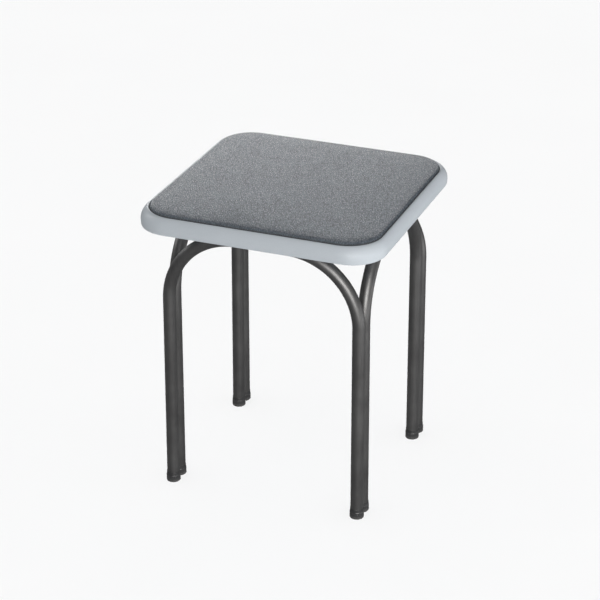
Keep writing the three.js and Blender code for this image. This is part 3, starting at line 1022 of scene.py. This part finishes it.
def frame_tubes(paint):
    """The four arches, placed by the screws and the caps at their ends."""
    outer_y = abs(middle("frame_screw_front_left").y)
    side_x = abs(middle("frame_screw_left").x)
    outer_foot = middle("foot_cap_back_right_outer")
    inner_foot = middle("foot_cap_back_right_inner")
    inner_leg = outer_y - 2 * TUBE_RADIUS - GAP
    splay_x = outer_foot.x - side_x
    outer = (side_x, splay_x, outer_foot.y - outer_y)
    inner = (inner_leg, inner_foot.y - inner_leg, splay_x)
    quarter = math.pi / 2
    arch("front_tube", paint, *outer, (0, -outer_y, 0), 0, FRAME_SCREW_NODES[0:2])
    arch("back_tube", paint, *outer, (0, outer_y, 0), 2 * quarter, FRAME_SCREW_NODES[2:4])
    arch("left_tube", paint, *inner, (-side_x, 0, 0), -quarter, FRAME_SCREW_NODES[4:5])
    arch("right_tube", paint, *inner, (side_x, 0, 0), quarter, FRAME_SCREW_NODES[5:6])


WELD_RADIUS = 2.6 * MM
WELD_INWARD = 5.5 * MM
WELD_RINGS = 40
RIPPLE_PITCH = 2.2 * MM


def weld_bead(name, paint):
    """A short rippled bead laid in the groove between a pair of legs."""
    low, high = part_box(name)
    at = (low + high) / 2
    half = (high.z - low.z) / 2
    corner = name[len("weld_"):]
    pair = [middle(f"foot_cap_{corner}_{which}") for which in ("outer", "inner")]
    pair_x = math.copysign(abs(middle("frame_screw_left").x), pair[0].x)
    profile = [(0, -half)]
    for i in range(1, WELD_RINGS):
        t = -1 + 2 * i / WELD_RINGS
        ripple = 0.94 + 0.06 * abs(math.sin(math.pi * (t * half) / RIPPLE_PITCH))
        profile.append((WELD_RADIUS * min(1, math.sqrt(1 - t**2) * 3) * ripple, t * half))
    profile.append((0, half))
    inward = math.copysign(WELD_INWARD, at.x - pair_x)
    bead = lathe(name + "_bead", profile, (pair_x + inward, at.y, at.z), segments=20)
    outer_y = math.copysign(abs(middle("frame_screw_front_left").y), at.y)
    inner_y = outer_y - math.copysign(2 * TUBE_RADIUS + GAP, at.y)
    legs = []
    for y in (outer_y, inner_y):
        start = (pair_x, y, at.z - 20 * MM)
        end = (pair_x, y, at.z + 20 * MM)
        legs.append(rod("leg", start, end, TUBE_RADIUS + GAP, 64))
    carve(bead, legs, "DIFFERENCE")
    dress(bead, paint, name)


# ---- Feet and fasteners -------------------------------------------------------------------------
# Sections of a cap in millimetres: radius and height above the floor for its foot, then radius
# and depth below its top for the mould line, the lip and the sleeve.
CAP_FOOT = ((0, 0.5), (5.4, 0.5), (5.7, 0.2), (5.9, 0), (7.1, 0), (7.3, 0.2), (7.6, 0.5),
            (7.9, 0.2), (8.1, 0), (8.9, 0), (9.4, 0.2), (9.8, 0.7), (10, 1.6))
CAP_SIDE = ((10, 7.4), (9.85, 7.2), (9.85, 6.8), (10, 6.6), (10, 5.5), (9.9, 5.0), (9.7, 4.6),
            (9.5, 4.4), (9.44, 4.2), (9.42, 0.3), (9.38, 0.08), (9.33, 0))
CAP_BORE = (TUBE_RADIUS + GAP) / MM
CAP_SOLE = 3


def foot_cap(node, rubber):
    """A pushed-on cap: a thick foot, a lip, and a sleeve that tapers to the tube."""
    at = middle(node)
    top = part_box(node)[1].z / MM
    profile = list(CAP_FOOT) + [(radius, top - depth) for radius, depth in CAP_SIDE]
    profile += [(CAP_BORE, top - 0.05), (CAP_BORE, CAP_SOLE), (0, CAP_SOLE)]
    section = [(radius * MM, z * MM) for radius, z in profile]
    cap = lathe(node.replace("foot_cap", "foot"), section, (at.x, at.y, 0), segments=56)
    dress(cap, rubber, node)


DOME_STEPS = 8
THREAD_PITCH = 1.3 * MM
THREAD_SHARE = 0.7
THREAD_ROOT = 0.8


def screw(node, steel, shank, head, head_height, length):
    """A pan-head screw pointing up, with a cross recess and a rolled thread."""
    at = middle(node)
    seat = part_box(node)[0].z + head_height
    dome = [(head * math.sin(a), -head_height * (0.35 + 0.65 * math.cos(a)))
            for a in (math.pi / 2 * i / DOME_STEPS for i in range(DOME_STEPS + 1))]
    turns = int((length * THREAD_SHARE) / THREAD_PITCH)
    thread_start = length - shank - turns * THREAD_PITCH
    profile = dome + [(head, -0.1 * MM), (head - 0.1 * MM, 0), (shank, 0), (shank, thread_start)]
    root = shank * THREAD_ROOT
    for turn in range(turns):
        z = thread_start + turn * THREAD_PITCH
        profile += [(root, z + THREAD_PITCH * 0.15), (root, z + THREAD_PITCH * 0.45),
                    (shank, z + THREAD_PITCH * 0.72), (shank, z + THREAD_PITCH * 0.85)]
    profile += [(shank * 0.7, length - shank), (0, length)]
    body = lathe(node + "_steel", profile, (at.x, at.y, seat), segments=28)
    reach = head * 1.1
    blade = head * 0.26
    bottom = seat - head_height * 1.5
    top = seat - head_height * 0.4
    arms = [tapered_block("recess", size_x, size_y, at.x, at.y, bottom, top,
                          draft=0, round_off=0.01 * MM)
            for size_x, size_y in ((reach, blade), (blade, reach))]
    carve(body, arms, "DIFFERENCE")
    dress(body, steel, node)


# ---- Assembly -----------------------------------------------------------------------------------
make_camera()
make_backdrop()
make_lights(make_floor())
PLASTIC = rim_plastic()
VINYL = grained_vinyl()
PAINT = graphite_paint()
RUBBER = cap_rubber()
STEEL = zinc_steel()

seat_base(PLASTIC)
PAD_LIFT = pad_lift()
seat_cover(VINYL, PAD_LIFT)
seat_foam(pad_foam(), PAD_LIFT)
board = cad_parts["seat_board"]
board.data.materials.clear()
board.data.materials.append(board_plastic())

frame_tubes(PAINT)
for corner_name in CORNERS:
    weld_bead(f"weld_{corner_name}", PAINT)
    for which in ("outer", "inner"):
        foot_cap(f"foot_cap_{corner_name}_{which}", RUBBER)
    screw(f"pad_screw_{corner_name}", STEEL, **PAD_SCREW)
for screw_node in FRAME_SCREW_NODES:
    screw(screw_node, STEEL, **FRAME_SCREW)

SCENE.view_settings.view_transform = "Standard"
